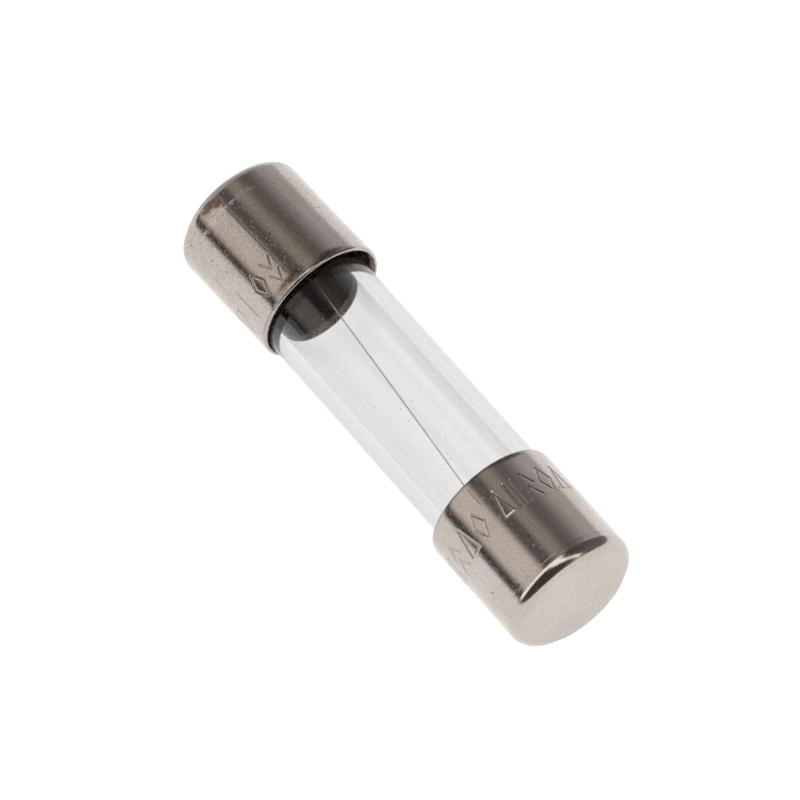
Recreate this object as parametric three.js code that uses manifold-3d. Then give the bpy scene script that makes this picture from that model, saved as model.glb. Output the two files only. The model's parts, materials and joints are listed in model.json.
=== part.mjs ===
// A 5 x 20 mm glass cartridge fuse, lying on its side along X, in millimetres with +Z up.
// The origin is on the glass tube's axis, midway between the two end faces.
// A glass tube carries a drawn metal cap on each end. Solder on each cap's floor holds one end
// of the fuse wire, which crosses the bore from its top at the left to its bottom at the right.

import * as THREE from 'three';
import { mergeVertices } from 'three/addons/utils/BufferGeometryUtils.js';
import Module from 'manifold-3d';

const wasm = await Module();
wasm.setup();

// Driving dimensions
const OVERALL_LENGTH = 20.4;
const CAP_DIAMETER = 5.15;
const CAP_WALL = 0.17;
const CAP_FLOOR = 0.25;
const LEFT_CAP_DEPTH = 5.15;
const RIGHT_CAP_DEPTH = 4.95;
const CAP_CORNER_RADIUS = 0.48;
const TUBE_DIAMETER = 4.45;
const TUBE_BORE = 3.3;
const WIRE_DIAMETER = 0.05;

// The mouth of a cap is pressed in a little over a short lip, and its edge is rounded.
const LIP_LENGTH = 0.35;
const LIP_DRAFT = 0.025;
const LIP_RADIUS = 0.07;

// The caps sit a little askew on the tube, within their clearance. The left one leans about the
// middle of its closed end, so that its mouth moves to one side, and the right one is off centre
// to the other side. That side's direction is measured from +Y towards +Z.
const SIDEWAYS = THREE.MathUtils.degToRad(22);
const LEFT_CAP_LEAN = THREE.MathUtils.degToRad(1.5);
const RIGHT_CAP_SHIFT = 0.1;

// The tube stops short of the cap floors, and its cut ends are fire-polished round.
const TUBE_END_GAP = 0.6;
const TUBE_EDGE_RADIUS = 0.12;

// Solder: a pad on the cap's floor, and a low dome that stands up inside the bore.
const SOLDER_GAP = 0.03;
const SOLDER_PAD_RADIUS = 2.0;
const SOLDER_PAD_TOP = 0.5;
const SOLDER_PLUG_RADIUS = 1.5;
const SOLDER_PLUG_SHOULDER = 1.05;
const SOLDER_DOME_TOP = 1.35;

// The wire's ends sit in blind sockets in the solder, on opposite sides of the bore. The whole
// wire is a little off centre, to the same side as the right cap.
const WIRE_END_DEPTH = 0.75;
const WIRE_END_OFFSET = 1.28;
const WIRE_PLANE_LEAN = THREE.MathUtils.degToRad(21.5);
const WIRE_SHIFT = 0.09;
const WIRE_SOCKET_DIAMETER = 0.14;

// Facets round the axis, and steps along a quarter-circle arc (three.js doubles the second).
const SIDES = 72;
const ARC_STEPS = 3;
const WIRE_SIDES = 12;

const sideways = new THREE.Vector3(0, Math.cos(SIDEWAYS), Math.sin(SIDEWAYS));

const nickel = new THREE.MeshStandardMaterial({ color: 0xb9b0a8, metalness: 1, roughness: 0.28 });
const solder = new THREE.MeshStandardMaterial({ color: 0x8d8983, metalness: 1, roughness: 0.45 });
const tinnedWire = new THREE.MeshStandardMaterial({ color: 0xa9a6a1, metalness: 1, roughness: 0.3 });
const glass = new THREE.MeshStandardMaterial({
  color: 0xe2e4e3, metalness: 0, roughness: 0.05, transparent: true, opacity: 0.35,
});

// Turns an outline of (radius, distance along the axis) points about X.
// The half step puts a facet, and not an edge, at the very bottom.
function turned(outline) {
  const geometry = new THREE.LatheGeometry(outline, SIDES);
  geometry.rotateZ(-Math.PI / 2);
  geometry.rotateX(Math.PI / SIDES);
  return geometry;
}

function toManifold(geometry) {
  const bare = new THREE.BufferGeometry();
  bare.setAttribute('position', geometry.getAttribute('position'));
  bare.setIndex(geometry.getIndex());
  const merged = mergeVertices(bare);
  return new wasm.Manifold(new wasm.Mesh({
    numProp: 3,
    vertProperties: merged.getAttribute('position').array,
    triVerts: new Uint32Array(merged.getIndex().array),
  }));
}

function toGeometry(manifold) {
  const mesh = manifold.getMesh();
  const geometry = new THREE.BufferGeometry();
  geometry.setAttribute('position', new THREE.BufferAttribute(mesh.vertProperties, 3));
  geometry.setIndex(new THREE.BufferAttribute(mesh.triVerts, 1));
  geometry.computeVertexNormals();
  return geometry;
}

// A cap's outline, from the middle of its closed end, round the outside, and back inside.
function capOutline(depth) {
  const outer = CAP_DIAMETER / 2;
  const inner = outer - CAP_WALL;
  const innerCorner = CAP_CORNER_RADIUS - CAP_WALL;
  const lip = outer - LIP_DRAFT - LIP_RADIUS;
  const path = new THREE.Path();
  path.moveTo(0, 0);
  path.lineTo(outer - CAP_CORNER_RADIUS, 0);
  path.absarc(outer - CAP_CORNER_RADIUS, CAP_CORNER_RADIUS, CAP_CORNER_RADIUS, -Math.PI / 2, 0);
  path.lineTo(outer, depth - LIP_LENGTH);
  path.lineTo(outer - LIP_DRAFT, depth - LIP_RADIUS);
  path.absarc(lip, depth - LIP_RADIUS, LIP_RADIUS, 0, Math.PI / 2);
  path.lineTo(inner, depth);
  path.lineTo(inner, CAP_FLOOR + innerCorner);
  path.absarc(inner - innerCorner, CAP_FLOOR + innerCorner, innerCorner, 0, -Math.PI / 2, true);
  path.lineTo(0, CAP_FLOOR);
  return path.getPoints(ARC_STEPS);
}

function tubeOutline() {
  const outer = TUBE_DIAMETER / 2;
  const inner = TUBE_BORE / 2;
  const end = OVERALL_LENGTH / 2 - TUBE_END_GAP;
  const edge = TUBE_EDGE_RADIUS;
  const path = new THREE.Path();
  path.moveTo(inner, edge - end);
  path.absarc(inner + edge, edge - end, edge, Math.PI, 1.5 * Math.PI);
  path.absarc(outer - edge, edge - end, edge, -Math.PI / 2, 0);
  path.absarc(outer - edge, end - edge, edge, 0, Math.PI / 2);
  path.absarc(inner + edge, end - edge, edge, Math.PI / 2, Math.PI);
  path.lineTo(inner, edge - end);
  return path.getPoints(ARC_STEPS);
}

function solderOutline() {
  const path = new THREE.Path();
  path.moveTo(0, CAP_FLOOR + SOLDER_GAP);
  path.lineTo(SOLDER_PAD_RADIUS, CAP_FLOOR + SOLDER_GAP);
  path.lineTo(SOLDER_PAD_RADIUS, SOLDER_PAD_TOP);
  path.lineTo(SOLDER_PLUG_RADIUS, SOLDER_PAD_TOP);
  path.lineTo(SOLDER_PLUG_RADIUS, SOLDER_PLUG_SHOULDER);
  path.absellipse(
    0, SOLDER_PLUG_SHOULDER, SOLDER_PLUG_RADIUS, SOLDER_DOME_TOP - SOLDER_PLUG_SHOULDER,
    0, Math.PI / 2, false,
  );
  return path.getPoints(ARC_STEPS);
}

// Where the wire ends, on the -X side or the +X side.
function wireEnd(side) {
  const along = OVERALL_LENGTH / 2 - WIRE_END_DEPTH;
  const end = new THREE.Vector3(
    side * along,
    -side * WIRE_END_OFFSET * Math.sin(WIRE_PLANE_LEAN),
    -side * WIRE_END_OFFSET * Math.cos(WIRE_PLANE_LEAN),
  );
  return end.addScaledVector(sideways, -WIRE_SHIFT);
}

// A straight round rod from one wire end to the other.
function rodAlongWire(diameter) {
  const left = wireEnd(-1);
  const right = wireEnd(1);
  const span = right.clone().sub(left);
  const rod = new THREE.CylinderGeometry(diameter / 2, diameter / 2, span.length(), WIRE_SIDES);
  rod.applyQuaternion(new THREE.Quaternion().setFromUnitVectors(
    new THREE.Vector3(0, 1, 0), span.clone().normalize(),
  ));
  const middle = left.add(right).multiplyScalar(0.5);
  return rod.translate(middle.x, middle.y, middle.z);
}

// The solder in one end, with the wire's socket cut in it, in that end's own frame.
function solderGeometry(endFrame) {
  endFrame.updateMatrix();
  const cutter = rodAlongWire(WIRE_SOCKET_DIAMETER);
  const stretch = 1 + 2 * SOLDER_GAP / OVERALL_LENGTH;
  cutter.scale(stretch, 1, 1).applyMatrix4(endFrame.matrix.clone().invert());
  return toGeometry(toManifold(turned(solderOutline())).subtract(toManifold(cutter)));
}

function named(name, geometry, material) {
  const mesh = new THREE.Mesh(geometry, material);
  mesh.name = name;
  return mesh;
}

// An end's own frame starts at the middle of its closed face, with +X towards the mouth.
function leftEndFrame() {
  const frame = new THREE.Group();
  frame.position.x = -OVERALL_LENGTH / 2;
  const hinge = new THREE.Vector3(1, 0, 0).cross(sideways);
  frame.quaternion.setFromAxisAngle(hinge, LEFT_CAP_LEAN);
  return frame;
}

function rightEndFrame() {
  const frame = new THREE.Group();
  frame.position.x = OVERALL_LENGTH / 2;
  frame.position.addScaledVector(sideways, -RIGHT_CAP_SHIFT);
  frame.rotation.z = Math.PI;
  return frame;
}

function end(side, frame, depth) {
  frame.add(named(`${side}_end_cap`, turned(capOutline(depth)), nickel));
  frame.add(named(`${side}_solder`, solderGeometry(frame), solder));
  return frame;
}

const fuse = new THREE.Group();
fuse.add(named('glass_tube', turned(tubeOutline()), glass));
fuse.add(named('fuse_wire', rodAlongWire(WIRE_DIAMETER), tinnedWire));
fuse.add(end('left', leftEndFrame(), LEFT_CAP_DEPTH));
fuse.add(end('right', rightEndFrame(), RIGHT_CAP_DEPTH));

export default fuse;
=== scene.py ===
"""The looks of a 5 x 20 mm glass cartridge fuse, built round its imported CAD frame.

The fuse lies along X, with its left cap at -X. Every piece but the wire is turned: a profile
of rows, each a distance along an axis and a radius, is swept round that axis, and a shape
function then moves the surface a little, to press marks, dents and waves into it.
Everything is in metres. Small sizes are written in millimetres, times MM.
"""

import json
import math
import random
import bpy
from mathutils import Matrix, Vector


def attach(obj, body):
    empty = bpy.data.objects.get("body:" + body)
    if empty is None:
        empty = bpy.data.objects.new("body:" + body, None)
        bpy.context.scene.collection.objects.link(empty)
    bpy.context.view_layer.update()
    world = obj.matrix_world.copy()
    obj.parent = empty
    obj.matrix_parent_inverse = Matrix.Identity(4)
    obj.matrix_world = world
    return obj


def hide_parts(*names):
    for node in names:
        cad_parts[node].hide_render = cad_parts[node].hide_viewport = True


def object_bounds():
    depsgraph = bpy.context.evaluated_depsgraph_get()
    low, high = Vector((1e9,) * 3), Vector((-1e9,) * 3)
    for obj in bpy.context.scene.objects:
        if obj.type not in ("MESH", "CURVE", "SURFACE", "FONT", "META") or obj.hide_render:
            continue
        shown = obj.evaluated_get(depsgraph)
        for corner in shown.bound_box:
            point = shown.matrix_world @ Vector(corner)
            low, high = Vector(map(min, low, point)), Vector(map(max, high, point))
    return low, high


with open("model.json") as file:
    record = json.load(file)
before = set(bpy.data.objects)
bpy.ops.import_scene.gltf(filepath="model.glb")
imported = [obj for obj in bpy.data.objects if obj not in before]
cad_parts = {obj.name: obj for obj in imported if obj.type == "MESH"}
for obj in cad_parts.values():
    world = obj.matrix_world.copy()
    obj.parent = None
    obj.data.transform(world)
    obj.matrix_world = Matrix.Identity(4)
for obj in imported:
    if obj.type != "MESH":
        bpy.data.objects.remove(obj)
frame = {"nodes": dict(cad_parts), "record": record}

from types import SimpleNamespace

import bmesh
import bpy
import numpy as np
from mathutils import Vector

CAD_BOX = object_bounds()
MM = 0.001

# Sizes that the CAD model's outside doesn't show
CAP_WALL = 0.17 * MM
CAP_FLOOR = 0.25 * MM
CAP_CORNER = 0.48 * MM
LIP_LENGTH = 0.2 * MM
LIP_DRAFT = 0.010 * MM
LIP_RADIUS = 0.08 * MM
FLARE = 0.045 * MM
FLARE_LENGTH = 0.25 * MM
TUBE_EDGE = 0.12 * MM
WIRE_RADIUS = 0.025 * MM

# How a drawn cap differs from a true cup, which is a clearance smaller than the CAD one
CAP_CLEARANCE = 0.012 * MM
WALL_WAVES = 0.001 * MM
CORNER_WAVES = 0.002 * MM
FACE_DISH = 0.006 * MM
SKEW_LENGTH = 1.5 * MM
BEAD_FROM_CORNER = 0.2 * MM
BEAD_WIDTH = 0.045 * MM

# Marks pressed into a cap, in a ring near its mouth
MARK_HEIGHT = 1.12 * MM
MARK_WIDTH = 0.52 * MM
MARK_DEPTH = 0.018 * MM
STROKE_FLOOR = 0.012 * MM
STROKE_EDGE = 0.055 * MM
MARK_MESH = 0.022 * MM
SCRATCH_DEPTH = 0.001 * MM
# How much painted shade darkens the walls of the marks' grooves, where shade falls
GROOVE_SHADE = 2.4

# A cap's soft solder: a pad on its floor, and a plug that clears the tube's bore
PAD_TOP = 0.5 * MM
PLUG_CLEARANCE = 0.15 * MM
PLUG_SHOULDER = 1.0 * MM

# The slight set in the wire
WIRE_BOW = 0.05 * MM
WIRE_KINK = 0.06 * MM

# Where the photograph's camera stands, where it looks beside the fuse's centre, and the
# angle round the fuse of the side that faces it
CAMERA_AZIMUTH = 53.58
CAMERA_ELEVATION = 55.8
CAMERA_DISTANCE = 0.3635
CAMERA_LENS = 463.8
AIM_LEFT = 0.16 * MM
AIM_UP = 0.044 * MM
CAMERA_SIDE = 112


# ------------------------------------------------------------------ axes and the CAD frame

class Axis:
    """A turned piece's own axis, which starts at a point and runs along a direction.

    Angles about it count from the row's +Y towards +Z, whichever way it runs.
    """

    def __init__(self, start, along):
        self.start = np.array(start)
        self.along = np.array(Vector(along).normalized())
        up = np.array((0.0, 0.0, 1.0))
        up = up - up.dot(self.along) * self.along
        self.up = up / np.linalg.norm(up)
        self.side = np.cross(self.up, self.along) * math.copysign(1, self.along[0])

    def place(self, x, radius, angle):
        """Points at distances along the axis, radii and angles."""
        return (self.start + np.multiply.outer(x, self.along)
                + np.multiply.outer(radius * np.cos(angle), self.side)
                + np.multiply.outer(radius * np.sin(angle), self.up))

    def locate(self, obj):
        """Distances along the axis, radii and angles of an object's vertices."""
        points = np.array([v.co for v in obj.data.vertices]) - self.start
        along = points @ self.along
        radii = np.linalg.norm(points - np.outer(along, self.along), axis=1)
        return along, radii, np.arctan2(points @ self.up, points @ self.side)

    def measure(self, node):
        """Distances along the axis, and radii, of a CAD node's vertices."""
        along, radii, _ = self.locate(frame["nodes"][node])
        return along, radii


def end_axis(mount_name):
    """An end's axis starts on its closed face and runs inwards, to the cap's mouth."""
    mount = next(m for m in frame["record"]["mounts"] if m["name"] == mount_name)
    return Axis(mount["pos_m"], -Vector(mount["axis"]))


TUBE_AXIS = Axis((0, 0, 0), (1, 0, 0))
LEFT_AXIS = end_axis("left_end_face")
RIGHT_AXIS = end_axis("right_end_face")


# ------------------------------------------------------------------ profiles

def arc(centre, radius, start, end, steps):
    """Rows on a circular arc, its angles in degrees from the axis outwards."""
    turns = np.radians(np.linspace(start, end, steps + 1))
    return [(centre[0] + radius * math.cos(t), centre[1] + radius * math.sin(t)) for t in turns]


def line(start, end, spacing):
    """Rows on a straight stretch, about a spacing apart, without its two ends."""
    count = max(1, round(math.dist(start, end) / spacing))
    return [tuple(a + (b - a) * i / count for a, b in zip(start, end)) for i in range(1, count)]


def even_angles(count):
    return np.radians(np.arange(count) * 360 / count)


def dense_angles(first, last, fine, coarse):
    """Angles all the way round, in degrees, with fine steps only from first to last."""
    return np.radians(np.concatenate([
        np.arange(first, last, fine), np.arange(last, first + 360, coarse)]))


# ------------------------------------------------------------------ meshes

def piece(name, points, faces, turns=None):
    """A smooth-shaded object with outward faces. turns maps each vertex for the UV map."""
    mesh = bpy.data.meshes.new(name)
    mesh.from_pydata([tuple(p) for p in points], [], faces)
    if turns is not None:
        add_turned_map(mesh, turns)
    work = bmesh.new()
    work.from_mesh(mesh)
    bmesh.ops.recalc_face_normals(work, faces=work.faces)
    work.to_mesh(mesh)
    work.free()
    mesh.polygons.foreach_set("use_smooth", [True] * len(mesh.polygons))
    obj = bpy.data.objects.new(name, mesh)
    bpy.context.scene.collection.objects.link(obj)
    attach(obj, "root")
    return obj


def add_turned_map(mesh, turns):
    """A UV map in millimetres: round the axis, and along the profile."""
    layer = mesh.uv_layers.new(name="turned")
    loops = np.empty(len(mesh.loops), int)
    mesh.loops.foreach_get("vertex_index", loops)
    uv = turns[loops]
    counts = np.array([len(p.vertices) for p in mesh.polygons])
    face = np.repeat(np.arange(len(counts)), counts)
    most = np.full(len(counts), -np.inf)
    np.maximum.at(most, face, uv[:, 0])
    girth = turns[:, 2].max()
    crosses_seam = most[face] - uv[:, 0] > girth / 2
    uv[crosses_seam, 0] += girth
    layer.data.foreach_set("uv", (uv[:, :2] / MM).ravel())


def turn(name, axis, rows, angles, shape=None, loop=False):
    """Sweeps rows round an axis. Rows that aren't a loop start and end on the axis.

    shape(x, radius, angle) gives how far each point moves, along the axis and outwards.
    """
    rows = np.array(rows)
    body = rows if loop else rows[1:-1]
    ring, count = len(angles), len(body)
    x, angle = np.meshgrid(body[:, 0], angles, indexing="ij")
    radius = np.repeat(body[:, 1:], ring, axis=1)
    along = np.concatenate([[0], np.cumsum(np.linalg.norm(np.diff(body, axis=0), axis=1))])
    girth = 2 * math.pi * radius.max()
    if shape is not None:
        move_x, move_out = shape(x, radius, angle)
        x, radius = x + move_x, radius + move_out
    points = axis.place(x.ravel(), radius.ravel(), angle.ravel())
    start = angles.min()
    turns = np.stack([
        ((angle - start) / (2 * math.pi) * girth).ravel(),
        np.repeat(along, ring), np.full(ring * count, girth)], axis=1)
    i, j = np.meshgrid(np.arange(count if loop else count - 1), np.arange(ring), indexing="ij")
    here, there = i * ring, (i + 1) % count * ring
    after = (j + 1) % ring
    faces = np.stack([here + j, here + after, there + after, there + j], -1)
    faces = faces.reshape(-1, 4).tolist()
    if not loop:
        last_ring = (count - 1) * ring
        for tip, (row, first) in enumerate(((rows[0], 0), (rows[-1], last_ring))):
            points = np.vstack([points, axis.place(row[0], 0.0, 0.0)])
            turns = np.vstack([turns, [girth / 2, turns[first, 1], girth]])
            centre = ring * count + tip
            faces += [[centre, first + k, first + (k + 1) % ring] for k in range(ring)]
    return piece(name, points, faces, turns)


def add_attribute(obj, name, values):
    layer = obj.data.attributes.new(name, "FLOAT", "POINT")
    layer.data.foreach_set("value", np.asarray(values, np.float32))


# ------------------------------------------------------------------ shapes pressed into metal

def rise(value, low, high):
    """0 below low, 1 above high, and smooth between them."""
    t = np.clip((value - low) / (high - low), 0, 1)
    return t * t * (3 - 2 * t)


def turned_away(angle, centre):
    """Degrees from an angle to a centre given in degrees, from -180 to 180."""
    return (np.degrees(angle) - centre + 180) % 360 - 180


def waves(x, angle, size, seed):
    """A drawn part's slight unevenness, a few low lobes that drift along it."""
    draw = random.Random(seed)
    total = np.zeros_like(x)
    for lobes in (2, 3, 5, 7, 11):
        drift = draw.uniform(-0.4, 0.4) / MM
        total += np.sin(lobes * angle + drift * x + draw.uniform(0, 6.3)) / lobes ** 0.7
    return size * total


LOZENGE = [[(0, -0.5), (0.5, 0), (0, 0.5), (-0.5, 0), (0, -0.5)]]
TRIANGLE = [[(-0.5, -0.5), (0.5, -0.5), (0, 0.5), (-0.5, -0.5)]]
BARS = [[(-0.3, -0.5), (-0.3, 0.5)], [(0.3, -0.5), (0.3, 0.5)]]
CHEVRONS = [[(-0.5, 0.05), (0, 0.5), (0.5, 0.05)], [(-0.5, -0.5), (0, -0.05), (0.5, -0.5)]]


def distance_to_strokes(u, v, strokes):
    """Distance from points to the nearest of some polylines."""
    nearest = np.full_like(u, np.inf)
    for stroke in strokes:
        for (ax, ay), (bx, by) in zip(stroke, stroke[1:]):
            ax, bx = ax * MARK_WIDTH, bx * MARK_WIDTH
            ay, by = ay * MARK_HEIGHT, by * MARK_HEIGHT
            length = math.hypot(bx - ax, by - ay) ** 2
            t = np.clip(((u - ax) * (bx - ax) + (v - ay) * (by - ay)) / length, 0, 1)
            nearest = np.minimum(nearest, np.hypot(u - ax - t * (bx - ax), v - ay - t * (by - ay)))
    return nearest


def stamped(x, radius, angle, middle_x, marks):
    """How far each point sinks for a ring of marks, each a (centre angle, strokes) pair."""
    sink = np.zeros_like(x)
    for centre, strokes in marks:
        u = np.radians(turned_away(angle, centre)) * radius
        v = x - middle_x
        near = (abs(u) < MARK_WIDTH) & (abs(v) < MARK_HEIGHT * 0.7)
        distance = distance_to_strokes(u[near], v[near], strokes)
        groove = 1 - rise(distance, STROKE_FLOOR, STROKE_EDGE)
        ridge = np.exp(-((distance - STROKE_EDGE * 1.3) / (STROKE_EDGE * 0.4)) ** 2)
        sink[near] = np.minimum(sink[near], MARK_DEPTH * (0.15 * ridge - groove))
    return sink


def near_closed_end(x):
    """1 on the corner of a cap's closed end and 0 further along, smooth between."""
    return 1 - rise(x, 0.2 * MM, 0.9 * MM)


def underneath(angle):
    """0 on the side that faces the camera and 1 on the opposite one, smooth between."""
    return 0.5 - 0.5 * np.cos(angle - math.radians(CAMERA_SIDE))


def scratch(x, radius, angle, centre, x_from, x_to, width):
    """1 in a fine line along a cap, at a centre angle in degrees, and 0 beside it."""
    across = abs(np.radians(turned_away(angle, centre)) * radius)
    ends = rise(x, x_from, x_from + 0.2 * MM) * (1 - rise(x, x_to - 0.2 * MM, x_to))
    return (1 - rise(across, width * 0.2, width)) * ends


def bulge(angle, centre, half_turn, height):
    """A broad swelling along one side of a cap."""
    return height * (1 - rise(abs(turned_away(angle, centre)), 0, half_turn))


def flattened(x, angle, centre, half_turn, depth):
    """A small flat knocked on the corner of a cap's closed end."""
    across = 1 - rise(abs(turned_away(angle, centre)), 0, half_turn)
    return -depth * across * near_closed_end(x)


def scuffed(x, angle, centre, reach, middle, seed):
    """1 on a few thin wavering lines round a cap, where it rubbed against something."""
    draw = random.Random(seed)
    total = np.zeros_like(x)
    for _ in range(4):
        line_x = middle + draw.uniform(-0.07, 0.07) * MM
        for lobes, sway in ((9, 0.06), (29, 0.035), (61, 0.015)):
            line_x = line_x + sway * MM * np.sin(lobes * angle + draw.uniform(0, 6.3))
        total = np.maximum(total, 1 - rise(abs(x - line_x), 0.004 * MM, 0.023 * MM))
    return total * (1 - rise(abs(turned_away(angle, centre)), reach * 0.6, reach))


def spots(x, angle, places):
    """1 in the middle of some soft oval spots and 0 outside them.

    Each spot is a (distance along, angle in degrees, half length, half turn in degrees).
    """
    total = np.zeros_like(x)
    for middle, centre, half_x, half_turn in places:
        far = np.hypot((x - middle) / half_x, turned_away(angle, centre) / half_turn)
        total = np.maximum(total, 1 - rise(far, 0.2, 1.0))
    return total


# ------------------------------------------------------------------ the pieces

def cap_rows(depth, outer, marks_from, marks_to):
    """A cap's profile, in two runs of rows.

    The first goes from the middle of its closed face round the outside to the mouth, and the
    second goes back along the inside to the middle of its floor.
    """
    inner, inner_corner = outer - CAP_WALL, CAP_CORNER - CAP_WALL
    rough_end = CAP_CORNER + 0.6 * MM
    lip_start, lip_edge = depth - LIP_LENGTH, outer - LIP_DRAFT
    outside = [
        (0, 0),
        *line((0, 0), (0, outer - CAP_CORNER), 0.1 * MM),
        *arc((CAP_CORNER, outer - CAP_CORNER), CAP_CORNER, 180, 90, 24),
        *line((CAP_CORNER, outer), (rough_end, outer), MARK_MESH),
        (rough_end, outer),
        *line((rough_end, outer), (marks_from, outer), 0.1 * MM),
        (marks_from, outer),
        *line((marks_from, outer), (marks_to, outer), MARK_MESH),
        (marks_to, outer),
        *line((marks_to, outer), (lip_start, outer), MARK_MESH),
        (lip_start, outer),
        *line((lip_start, outer), (depth - LIP_RADIUS, lip_edge), 0.05 * MM),
        *arc((depth - LIP_RADIUS, lip_edge - LIP_RADIUS), LIP_RADIUS, 90, 0, 6),
        (depth, inner + FLARE),
    ]
    inside = [
        *line((depth, inner + FLARE), (depth - FLARE_LENGTH, inner), 0.05 * MM),
        (depth - FLARE_LENGTH, inner),
        *line((depth - FLARE_LENGTH, inner), (CAP_FLOOR + inner_corner, inner), 0.25 * MM),
        *arc((CAP_FLOOR + inner_corner, inner - inner_corner), inner_corner, 90, 180, 6),
        *line((CAP_FLOOR, inner - inner_corner), (CAP_FLOOR, 0), 0.4 * MM),
        (CAP_FLOOR, 0),
    ]
    return outside, inside


def inside_faces(outside, inside, ring):
    """Which faces of a turned cap are on its inside, in the order in which turn makes them.

    The rings of faces between the rows come first, then the middle of the closed face, and
    then the middle of the floor.
    """
    walls = (len(outside + inside) - 3) * ring
    order = np.arange(walls + 2 * ring)
    return (order >= (len(outside) - 2) * ring) & (order < walls) | (order >= walls + ring)


def make_cap(side, axis, look):
    """A drawn cap with a ring of stamped marks and its own wear, scratches and stains."""
    node = side + "_end_cap"
    along, radii = axis.measure(node)
    depth, outer = along.max(), radii.max()
    middle = depth - look.marks_from_mouth - MARK_HEIGHT / 2
    reach = MARK_HEIGHT * 0.62 + STROKE_EDGE * 2

    def sunk(x, radius, angle):
        return look.mark_strength * stamped(x, radius, angle, middle, look.marks)

    def scratched(x, angle):
        return sum(strength * scratch(x, outer, angle, *place)
                   for strength, *place in look.scratches)

    def worn(x, angle):
        flats = sum(flattened(x, angle, *flat) for flat in look.flats)
        bead = look.bead * np.exp(-((x - CAP_CORNER - BEAD_FROM_CORNER) / BEAD_WIDTH) ** 2)
        return flats + bead + sum(bulge(angle, *place) for place in look.bulges)

    def shape(x, radius, angle):
        outside = rise(radius, outer - CAP_CORNER, outer - CAP_WALL * 0.5)
        shell = (radius > outer - CAP_WALL * 0.5) * 1.0
        outwards = rise(radius, 0, outer)
        uneven = WALL_WAVES + CORNER_WAVES * near_closed_end(x)
        move = waves(x, angle, uneven, look.seed) * outwards
        move = move + shell * sunk(x, radius, angle)
        move = move + outside * worn(x, angle) - CAP_CLEARANCE * outwards
        move = move - SCRATCH_DEPTH * shell * scratched(x, angle)
        dish = FACE_DISH * (1 - rise(radius, 0, outer - CAP_CORNER)) * (x < CAP_FLOOR / 2)
        return dish - look.skew * underneath(angle) * rise(x, depth - SKEW_LENGTH, depth), move

    outside, inside = cap_rows(depth, outer, middle - reach, middle + reach)
    cap = turn(side + "_cap_shell", axis, outside + inside, look.angles, shape)
    cap.data.materials.append(nickel(look.plate, look.plate_wear))
    cap.data.materials.append(CAP_INSIDE)
    hidden = inside_faces(outside, inside, len(look.angles))
    cap.data.polygons.foreach_set("material_index", hidden.astype(np.int32))

    x, _, angle = axis.locate(cap)
    groove = np.clip(-sunk(x, outer, angle) / MARK_DEPTH, 0, 1)
    # Painted shade on the walls of the marks' grooves joins the dark spots and the darkened
    # scratch lines in one attribute
    dirt = GROOVE_SHADE * groove * (1 - groove) + spots(x, angle, look.dirt)
    mouth = depth - look.skew * underneath(angle)
    add_attribute(cap, "grime_and_shade", np.clip(dirt + scratched(x, angle), 0, 1))
    add_attribute(cap, "scuff", sum(k * scuffed(x, angle, *scuff) for k, *scuff in look.scuffs))
    add_attribute(cap, "stain", spots(x, angle, look.stains))
    # The band inside the mouth that cap_inside paints near white, partly pale flux and partly
    # painted light
    add_attribute(cap, "rim", rise(x, mouth - 0.42 * MM, mouth - 0.22 * MM))
    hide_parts(node)


def make_tube():
    """The glass tube: fire-polished ends, and the faint waves of drawn glass."""
    along, radii = TUBE_AXIS.measure("glass_tube")
    end, outer, inner = along.max(), radii.max(), radii.min()
    edge = TUBE_EDGE
    rows = [
        *arc((edge - end, inner + edge), edge, 270, 180, 6),
        *arc((edge - end, outer - edge), edge, 180, 90, 6),
        *line((edge - end, outer), (end - edge, outer), 0.5 * MM),
        *arc((end - edge, outer - edge), edge, 90, 0, 6),
        *arc((end - edge, inner + edge), edge, 0, -90, 6),
        *line((end - edge, inner), (edge - end, inner), 0.5 * MM),
    ]

    def shape(x, radius, angle):
        skin = np.where(radius > (outer + inner) / 2, 1.0, -0.8)
        return 0 * x, skin * waves(x * 0.1, angle, 0.0015 * MM, 4) - 0.003 * MM * (skin > 0)

    tube = turn("glass_tube_drawn", TUBE_AXIS, rows, even_angles(240), shape, loop=True)
    tube.data.materials.append(clear_glass("clear_glass"))
    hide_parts("glass_tube")


def wire_path():
    """Points along the wire: straight between the CAD wire's ends, with a slight set in it."""
    points = np.array([v.co for v in frame["nodes"]["fuse_wire"].data.vertices])
    left = points[points[:, 0] < 0].mean(axis=0)
    right = points[points[:, 0] > 0].mean(axis=0)
    share = np.linspace(0, 1, 90)[:, None]
    bow = WIRE_BOW * np.sin(math.pi * share) ** 2 * np.array((0, 0.6, 0.8))
    kink = WIRE_KINK * np.exp(-((share - 0.13) / 0.06) ** 2) * np.array((0, 0.9, -0.2))
    return left + (right - left) * share + bow + kink


def make_wire():
    """The fuse wire, a round section swept along its path."""
    path, sides = wire_path(), 14
    ahead = np.gradient(path, axis=0)
    ahead /= np.linalg.norm(ahead, axis=1)[:, None]
    across = np.cross(ahead, (0, 0, 1.0))
    across /= np.linalg.norm(across, axis=1)[:, None]
    other = np.cross(ahead, across)
    turns = even_angles(sides)
    circle = (np.cos(turns)[None, :, None] * across[:, None, :]
              + np.sin(turns)[None, :, None] * other[:, None, :])
    points = (path[:, None, :] + WIRE_RADIUS * circle).reshape(-1, 3)
    faces = [[i * sides + k, i * sides + (k + 1) % sides,
              (i + 1) * sides + (k + 1) % sides, (i + 1) * sides + k]
             for i in range(len(path) - 1) for k in range(sides)]
    faces += [list(range(sides)), list(range(len(points) - sides, len(points)))]
    wire = piece("fuse_wire_strand", points, faces)
    wire.data.materials.append(TINNED_WIRE)
    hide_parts("fuse_wire")


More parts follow.
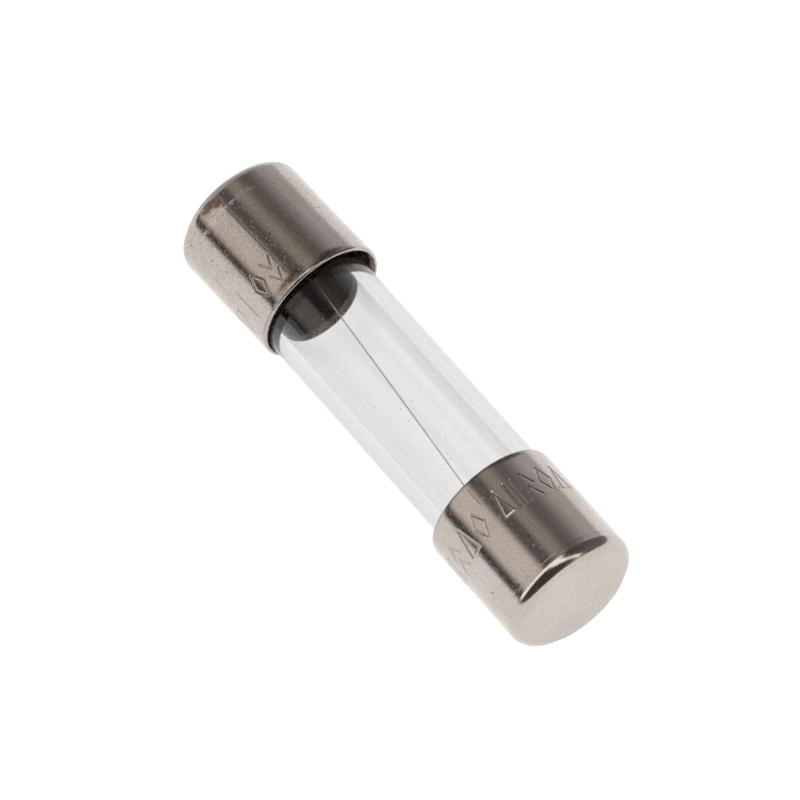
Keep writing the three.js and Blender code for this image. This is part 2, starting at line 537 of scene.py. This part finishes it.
def make_solder(side, axis, seed):
    """A pad of solder on a cap's floor, with an uneven dome that stands up in the bore."""
    node = side + "_solder"
    along, radii = axis.measure(node)
    floor, top, pad = along.min(), along.max(), radii.max()
    plug = TUBE_AXIS.measure("glass_tube")[1].min() - PLUG_CLEARANCE
    dome = [(PLUG_SHOULDER + (top - PLUG_SHOULDER) * math.sin(t), plug * math.cos(t))
            for t in np.radians(np.arange(0, 90, 6))]
    rows = [
        (floor, 0),
        *line((floor, 0), (floor, pad), 0.3 * MM),
        (floor, pad),
        (PAD_TOP, pad),
        *line((PAD_TOP, pad), (PAD_TOP, plug), 0.1 * MM),
        (PAD_TOP, plug),
        *line((PAD_TOP, plug), (PLUG_SHOULDER, plug), 0.1 * MM),
        *dome,
        (top, 0),
    ]

    def shape(x, radius, angle):
        above = rise(x, PAD_TOP, PLUG_SHOULDER)
        return above * (waves(x, angle, 0.02 * MM, seed) - 0.05 * MM), 0 * x

    solder = turn(side + "_solder_pool", axis, rows, even_angles(96), shape)
    solder.data.materials.append(SOLDER)
    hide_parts(node)


# ------------------------------------------------------------------ materials

class Shader:
    """A material, or a world, whose nodes are added one call at a time."""

    def __init__(self, name, library=bpy.data.materials, surface="Principled BSDF"):
        self.owner = library.new(name)
        self.owner.use_nodes = True
        self.tree = self.owner.node_tree
        self.surface = self.tree.nodes[surface]

    @classmethod
    def for_world(cls, name):
        return cls(name, bpy.data.worlds, "Background")

    def add(self, kind, output=0, inputs=None, **settings):
        node = self.tree.nodes.new("ShaderNode" + kind)
        for key, value in settings.items():
            setattr(node, key, value)
        for key, value in (inputs or {}).items():
            self.plug(node.inputs[key], value)
        return node.outputs[output]

    def plug(self, socket, value):
        if isinstance(value, bpy.types.NodeSocket):
            self.tree.links.new(value, socket)
        else:
            socket.default_value = value

    def set(self, **values):
        """Sets the surface's own inputs, by name with underscores for spaces."""
        for key, value in values.items():
            self.plug(self.surface.inputs[key.replace("_", " ")], value)

    def place(self):
        """Object coordinates in millimetres."""
        coordinates = self.add("TexCoord", "Object")
        return self.add("Mapping", inputs={"Vector": coordinates, "Scale": [1 / MM] * 3})

    def turned(self, scale):
        """The turned UV map, in millimetres round and along the piece, stretched by a scale."""
        coordinates = self.add("UVMap", uv_map="turned")
        return self.add("Mapping", inputs={"Vector": coordinates, "Scale": (*scale, 1)})

    def noise(self, vector, scale, detail, roughness):
        return self.add("TexNoise", "Fac", {
            "Vector": vector, "Scale": scale, "Detail": detail, "Roughness": roughness})

    def attribute(self, name):
        return self.add("Attribute", "Fac", attribute_name=name)

    def ramp(self, value, low, high, to_low=0.0, to_high=1.0):
        return self.add("MapRange", inputs={
            "Value": value, "From Min": low, "From Max": high,
            "To Min": to_low, "To Max": to_high}, interpolation_type="SMOOTHSTEP")

    def math(self, operation, a, b=0.0):
        return self.add("Math", inputs={0: a, 1: b}, operation=operation)

    def specks(self, scale, sparse, inner, outer):
        """Small round specks, in some of the cells of a pattern with scale cells a millimetre.

        A share sparse of the cells stays empty. Radii are in cells.
        """
        cells = self.add("TexVoronoi", "Distance", {"Vector": self.turned((1, 1)), "Scale": scale},
                         voronoi_dimensions="2D")
        lot = self.add("SeparateColor", 0, {0: cells.node.outputs["Color"]})
        return self.math("MULTIPLY", self.ramp(cells, inner, outer, 1.0, 0.0),
                         self.ramp(lot, sparse, sparse + 0.02))

    def band(self, value, low_out, low_in, high_in, high_out):
        """1 between the two inner values, 0 outside the outer ones, and smooth between."""
        rises = self.ramp(value, low_out, low_in)
        return self.math("MULTIPLY", rises, self.ramp(value, high_in, high_out, 1.0, 0.0))

    def blend(self, value, stops):
        """A smooth run of colours, each given with its place from 0 to 1."""
        ramp = self.add("ValToRGB", 0, {"Fac": value}).node
        ramp.color_ramp.interpolation = "EASE"
        elements = ramp.color_ramp.elements
        while len(elements) < len(stops):
            elements.new(0.5)
        for element, (place, colour) in zip(elements, stops):
            element.position, element.color = place, (*colour, 1)
        return ramp.outputs["Color"]

    def mix(self, factor, a, b):
        a, b = [(*c, 1) if isinstance(c, tuple) and len(c) == 3 else c for c in (a, b)]
        return self.add("Mix", 2, {0: factor, 6: a, 7: b}, data_type="RGBA", clamp_factor=False)

    def bump(self, height, distance):
        return self.add("Bump", inputs={"Height": height, "Distance": distance, "Strength": 1.0})


# Colours of the plate, of what has got on to it, of the caps' inside and of the glass
NICKEL, YELLOWED_NICKEL = (0.53, 0.492, 0.460), (0.49, 0.445, 0.402)
DRAWN_LINE, DULLED_NICKEL = (0.25, 0.21, 0.18), (0.20, 0.17, 0.15)
# The grime colour on the next line is both dirt and painted shade, in the grooves and along the
# mouth
PIT, SPECK, GRIME_AND_SHADE = (0.12, 0.09, 0.08), (0.07, 0.05, 0.04), (0.09, 0.065, 0.05)
BROWN_FLUX, BLACK_FLUX = (0.21, 0.115, 0.05), (0.07, 0.038, 0.022)
SCUFFED_NICKEL = (0.95, 0.90, 0.85)
INSIDE, BAKED_INSIDE = (0.46, 0.32, 0.23), (0.22, 0.145, 0.095)
# The rim colour on the next line is partly pale flux and partly painted light inside the mouth
PALE_LIT_RIM, SOLDER_DROP = (1.0, 0.93, 0.87), (1.0, 0.93, 0.86)
GLASS, GLASS_STREAK = (0.985, 0.985, 0.985), (0.95, 0.953, 0.965)
# The flank and edge colours on the next line are painted shade on the glass
SHADED_GLASS_FLANK, SHADED_GLASS_EDGE, DUST = (0.70, 0.705, 0.71), (0.66, 0.66, 0.65), (0.30, 0.28, 0.26)


def bare_plate(s, place, worn):
    """Nickel plate's colour, grain and height, with faint drawing lines, pits and specks."""
    haze = s.ramp(s.noise(place, 0.45, 3, 0.5), 0.35, 0.7)
    colour = s.mix(haze, NICKEL, YELLOWED_NICKEL)
    profile = s.add("SeparateXYZ", "Y", {0: s.add("UVMap", uv_map="turned")})
    # Drawing leaves no lines on the closed face, which is the profile's first two millimetres
    off_face = s.ramp(profile, 2.0, 2.7)
    drawn = s.math("MULTIPLY", s.noise(s.turned((13, 0.3)), 1.0, 4, 0.65), off_face)
    colour = s.mix(s.ramp(drawn, 0.45, 0.75, 0.0, 0.20), colour, DRAWN_LINE)
    grain = s.noise(place, 13.0, 4, 0.75)
    dulled = s.ramp(grain, 0.35, 0.68, 0.0, 0.12 + 0.33 * worn)
    colour = s.mix(dulled, colour, DULLED_NICKEL)
    pits = s.ramp(s.noise(place, 10.0, 2, 0.6), 0.68 - 0.05 * worn, 0.74)
    colour = s.mix(s.math("MULTIPLY", pits, 0.3 + 0.4 * worn), colour, PIT)
    colour = s.mix(s.specks(0.8, 0.74, 0.02, 0.035), colour, SPECK)
    height = s.math("MULTIPLY", grain, 1.3 * worn)
    height = s.math("ADD", height, s.math("MULTIPLY", drawn, 0.4))
    height = s.math("SUBTRACT", height, s.math("MULTIPLY", pits, 1.0 + 2.5 * worn))
    return colour, grain, height


def grimy_and_shaded(s, place, colour):
    """Adds patchy dark colour from the grime attribute: dirt, and painted shade in the grooves and
    along the mouth.
    """
    patchy = s.ramp(s.noise(place, 6.0, 4, 0.7), 0.3, 0.6, 0.5, 0.95)
    return s.mix(s.math("MULTIPLY", s.attribute("grime_and_shade"), patchy), colour, GRIME_AND_SHADE)


def baked_flux(s, place):
    """How much ragged brown flux there is round the stain attribute, and its colour."""
    spread = s.attribute("stain")
    ragged = s.noise(place, 5.5, 6, 0.85)
    stain = s.ramp(s.math("ADD", spread, s.math("MULTIPLY", ragged, 2.6)), 1.55, 2.25)
    stain = s.math("MULTIPLY", stain, s.ramp(spread, 0.02, 0.4, 0.0, 0.9))
    crust = s.ramp(s.noise(place, 8.0, 4, 0.7), 0.40, 0.60)
    return stain, s.mix(crust, BROWN_FLUX, BLACK_FLUX)


def nickel(name, worn):
    """A cap's plated outside, with painted shade in its grooves, dirt and painted shade by its
    mouth, darkened scratch lines, stains and scuffs.
    """
    s = Shader(name)
    place = s.place()
    colour, grain, height = bare_plate(s, place, worn)
    colour = grimy_and_shaded(s, place, colour)
    stain, flux = baked_flux(s, place)
    colour = s.mix(stain, colour, flux)
    patchy = s.ramp(s.noise(place, 4.0, 3, 0.7), 0.42, 0.58)
    scuff = s.math("MULTIPLY", s.attribute("scuff"), patchy)
    colour = s.mix(scuff, colour, SCUFFED_NICKEL)
    rough = s.ramp(grain, 0.3, 0.7, 0.12, 0.20)
    rough = s.math("ADD", rough, s.math("MULTIPLY", stain, 0.2))
    rough = s.math("ADD", rough, s.math("MULTIPLY", scuff, 0.35))
    s.set(Base_Color=colour, Metallic=s.math("SUBTRACT", 1.0, s.math("MULTIPLY", stain, 0.6)))
    s.set(Roughness=rough, Normal=s.bump(height, 0.0015 * MM))
    return s.owner


def cap_inside(name):
    """A cap's inside: dull, brown with baked flux, spattered, and near white along its mouth,
    partly pale flux and partly painted light.
    """
    s = Shader(name)
    place = s.place()
    film = s.ramp(s.noise(place, 1.6, 5, 0.6), 0.35, 0.7)
    colour = s.mix(film, INSIDE, BAKED_INSIDE)
    grain = s.ramp(s.noise(place, 9.0, 5, 0.8), 0.44, 0.58)
    colour = s.mix(s.math("MULTIPLY", grain, 0.8), colour, GRIME_AND_SHADE)
    ragged = s.math("MULTIPLY", s.noise(place, 8.0, 4, 0.75), 1.6)
    # Painted light along the mouth: a ragged near-white band where light comes in, partly pale
    # flux
    rim = s.attribute("rim")
    edge = s.math("MULTIPLY", rim, s.ramp(s.math("ADD", rim, ragged), 1.5, 1.9))
    colour = s.mix(edge, colour, PALE_LIT_RIM)
    drops = s.specks(2.3, 0.72, 0.09, 0.17)
    colour = s.mix(drops, colour, SOLDER_DROP)
    rough = s.math("ADD", s.ramp(film, 0, 1, 0.42, 0.55), s.math("MULTIPLY", edge, 0.25))
    s.set(Base_Color=colour, Metallic=0.95, Roughness=rough)
    s.set(Normal=s.bump(s.math("ADD", grain, s.math("MULTIPLY", drops, 6.0)), 0.006 * MM))
    return s.owner


def clear_glass(name):
    """Clear drawn glass: faint streaks along it, painted shade that darkens it towards its edges
    as seen, and specks of dust.
    """
    s = Shader(name)
    streaks = s.ramp(s.noise(s.turned((1.1, 0.015)), 1.0, 2, 0.5), 0.52, 0.72)
    colour = s.mix(streaks, GLASS, GLASS_STREAK)
    facing = s.add("LayerWeight", "Facing", {"Blend": 0.5})
    # Painted shade: the colour darkens where the surface turns away from the view, on the flanks
    # and more at the edges
    colour = s.mix(s.ramp(facing, 0.28, 0.46), colour, SHADED_GLASS_FLANK)
    colour = s.mix(s.ramp(facing, 0.74, 0.92), colour, SHADED_GLASS_EDGE)
    colour = s.mix(s.specks(1.7, 0.95, 0.03, 0.06), colour, DUST)
    s.set(Base_Color=colour, Transmission_Weight=1.0, IOR=1.5, Roughness=0.0)
    depth = s.add("VolumeAbsorption", inputs={"Color": (0.2, 0.2, 0.2, 1), "Density": 0.2 / MM})
    s.plug(s.tree.nodes["Material Output"].inputs["Volume"], depth)
    return s.owner


def dull_metal(name, light, dark, roughness, grain, depth):
    """Solder or wire: blotchy grey metal with a fine uneven skin."""
    s = Shader(name)
    place = s.place()
    blotch = s.ramp(s.noise(place, grain, 5, 0.6), 0.35, 0.68)
    s.set(Base_Color=s.mix(blotch, light, dark), Metallic=1.0)
    s.set(Roughness=s.ramp(blotch, 0, 1, roughness, roughness + 0.15))
    s.set(Normal=s.bump(s.noise(place, grain * 3, 4, 0.6), depth))
    return s.owner


# ------------------------------------------------------------------ studio

def bright_floor():
    """A plain white lit table, so bright that the fuse hardly shades it."""
    half = 5.0
    low = CAD_BOX[0].z
    work = bmesh.new()
    bmesh.ops.create_grid(work, x_segments=8, y_segments=8, size=half)
    mesh = bpy.data.meshes.new("floor")
    work.to_mesh(mesh)
    work.free()
    floor = bpy.data.objects.new("floor", mesh)
    floor.location.z = low
    bpy.context.scene.collection.objects.link(floor)
    s = Shader("lit_white_table")
    s.set(Base_Color=(0.5, 0.5, 0.5, 1), Roughness=1.0, Specular_IOR_Level=0.0)
    s.set(Emission_Color=(1, 1, 1, 1), Emission_Strength=0.95)
    mesh.materials.append(s.owner)


# The room's light by the angle about the fuse's axis, from its +Y side, over the top, to -Y:
# a grey wall, a weak strip overhead, and a key light that ends above a dark skirting
GREY_WALL, STRIP, KEY = (0.64, 0.62, 0.62), (0.42, 0.39, 0.345), (0.95, 0.86, 0.82)
DIM, DARK, DARKER = (0.20, 0.18, 0.175), (0.125, 0.11, 0.11), (0.035, 0.03, 0.03)
ROOM = [
    (0, GREY_WALL), (20, GREY_WALL), (62, DIM), (68, DIM), (84, STRIP), (92, STRIP),
    (104, DARK), (115, DARK), (128, KEY), (157, KEY), (168, DARKER), (180, DARKER),
]
UNLIT = (0.075, 0.065, 0.06)
BACKDROP, HORIZON = (0.60, 0.58, 0.56), (0.9, 0.9, 0.9)
LAMP_LIGHT, LAMP_STRENGTH = (1.0, 0.96, 0.92), 1.8
LAMP_BEND = 97.0


def studio():
    """A dim room whose soft lights run along the fuse, and a bright table.

    The long lights are in the room's left part. The rest is unlit but for two lamps: a small
    one that stands square to the fuse's middle, and a narrow one that bends away from it to
    the right. From the camera they catch only the rounded edge of the right cap.
    """
    room = Shader.for_world("dim_room")
    way = room.add("SeparateXYZ", inputs={0: room.add("TexCoord", "Generated")})
    x, y, z = way.node.outputs
    angle = room.math("DEGREES", room.math("ARCTAN2", z, y))
    sky = room.blend(room.math("DIVIDE", angle, 180.0), [(a / 180, colour) for a, colour in ROOM])
    unlit = room.mix(room.ramp(angle, 20, 90), DIM, UNLIT)
    sky = room.mix(room.ramp(x, -0.35, -0.27), sky, unlit)
    sky = room.mix(room.ramp(x, -0.82, -0.68, 1.0, 0.0), sky, BACKDROP)
    sky = room.mix(room.ramp(z, 0.02, 0.045, 1.0, 0.0), sky, HORIZON)
    square_on = room.math("MULTIPLY", room.band(x, -0.30, -0.24, 0.06, 0.12),
                          room.band(angle, 80, 92, 168, 178))
    cube = room.math("POWER", room.math("MAXIMUM", x, 0.0), 3.0)
    bent = room.math("ADD", angle, room.math("MULTIPLY", cube, LAMP_BEND))
    sweep = room.math("MULTIPLY", room.band(x, 0.0, 0.1, 0.85, 0.97),
                      room.band(bent, 84, 92, 107, 115))
    lamps = room.math("MULTIPLY", room.math("MAXIMUM", square_on, sweep), LAMP_STRENGTH)
    room.set(Color=room.mix(lamps, sky, LAMP_LIGHT))
    bpy.context.scene.world = room.owner
    bright_floor()


def photo_camera():
    """The photograph's camera: a long lens, turned so that up stays up in the picture."""
    azimuth, elevation = math.radians(CAMERA_AZIMUTH), math.radians(CAMERA_ELEVATION)
    back = Vector((math.sin(azimuth) * math.cos(elevation),
                   -math.cos(azimuth) * math.cos(elevation), math.sin(elevation)))
    right = Vector((math.cos(azimuth), math.sin(azimuth), 0))
    up = back.cross(right)
    lens = bpy.data.cameras.new("photo_camera")
    lens.lens, lens.sensor_width = CAMERA_LENS, 36
    lens.clip_start, lens.clip_end = 0.01, 20
    camera = bpy.data.objects.new("photo_camera", lens)
    camera.location = back * CAMERA_DISTANCE - right * AIM_LEFT + up * AIM_UP
    camera.rotation_mode = "QUATERNION"
    camera.rotation_quaternion = (-back).to_track_quat("-Z", "Y")
    bpy.context.scene.collection.objects.link(camera)
    bpy.context.scene.camera = camera


# ------------------------------------------------------------------ the fuse

CAP_INSIDE = cap_inside("cap_inside")
SOLDER = dull_metal("solder", (0.50, 0.48, 0.45), (0.30, 0.27, 0.23), 0.35, 1.5, 0.02 * MM)
TINNED_WIRE = dull_metal(
    "tinned_wire", (0.70, 0.68, 0.65), (0.50, 0.47, 0.44), 0.25, 4, 0.002 * MM)

# What sets each cap apart. Distances along it start at its closed face, and angles are in
# degrees round it. Its mesh is finest where the marks and scratches are.
LEFT_LOOK = SimpleNamespace(
    plate="worn_nickel_plate",
    plate_wear=1.0,
    angles=dense_angles(80, 200, 0.6, 2.4),
    seed=11,
    marks=[(123, CHEVRONS), (140, LOZENGE), (183, TRIANGLE)],
    marks_from_mouth=0.5 * MM,
    mark_strength=0.55,
    # How much shorter the mouth is cut underneath
    skew=0.14 * MM,
    # Each: angle, half turn, depth
    flats=[(160, 20, 0.02 * MM)],
    # Each: angle, half turn, height
    bulges=[],
    bead=0.0,
    # Each: strength, angle, from, to, width
    scratches=[
        (1.0, 116.2, 0.65 * MM, 4.7 * MM, 0.030 * MM),
        (1.0, 162.5, 3.3 * MM, 4.75 * MM, 0.032 * MM),
        (0.6, 171.0, 2.1 * MM, 2.6 * MM, 0.03 * MM),
        (0.5, 176.0, 3.6 * MM, 4.3 * MM, 0.03 * MM),
    ],
    # Each: strength, angle, half turn, distance along, seed
    scuffs=[(0.6, 118, 36, 1.04 * MM, 7), (0.3, 92, 14, 4.1 * MM, 9)],
    # Each: distance along, angle, half length, half turn
    stains=[
        (0.50 * MM, 126, 0.30 * MM, 13),
        (0.60 * MM, 119, 0.36 * MM, 9),
        (4.90 * MM, 115, 0.20 * MM, 8),
    ],
    # Dark spots, each as for the stains; the last three, along the mouth, are partly painted shade
    # where the cap meets the glass
    dirt=[
        (0.17 * MM, 120, 0.08 * MM, 34),
        (4.85 * MM, 120, 0.22 * MM, 20),
        (4.95 * MM, 78, 0.2 * MM, 22),
        (5.04 * MM, 112, 0.05 * MM, 90),
    ],
)
RIGHT_LOOK = SimpleNamespace(
    plate="nickel_plate",
    plate_wear=0.38,
    angles=dense_angles(30, 200, 0.5, 2.5),
    seed=23,
    marks=[
        (47, TRIANGLE), (63, LOZENGE), (80, CHEVRONS), (93, BARS), (106, TRIANGLE),
        (131, LOZENGE), (148, TRIANGLE), (166, CHEVRONS), (184, BARS),
    ],
    marks_from_mouth=0.95 * MM,
    mark_strength=1.0,
    skew=0.0,
    flats=[(248, 16, 0.08 * MM), (341, 18, 0.08 * MM)],
    bulges=[(172, 44, 0.06 * MM)],
    bead=0.005 * MM,
    scratches=[
        (0.25, 158, 1.0 * MM, 1.9 * MM, 0.02 * MM),
        (0.8, 119, 3.8 * MM, 4.8 * MM, 0.03 * MM),
    ],
    scuffs=[(0.2, 75, 16, 3.2 * MM, 5)],
    stains=[],
    # Dark spots along the mouth, each as for the stains, partly painted shade where the cap meets
    # the glass
    dirt=[(4.82 * MM, 76, 0.16 * MM, 24), (4.92 * MM, 100, 0.09 * MM, 110)],
)

for side, axis, look in (("left", LEFT_AXIS, LEFT_LOOK), ("right", RIGHT_AXIS, RIGHT_LOOK)):
    make_cap(side, axis, look)
    make_solder(side, axis, look.seed + 1)
make_tube()
make_wire()
studio()
photo_camera()
bpy.context.scene.view_settings.view_transform = "Standard"
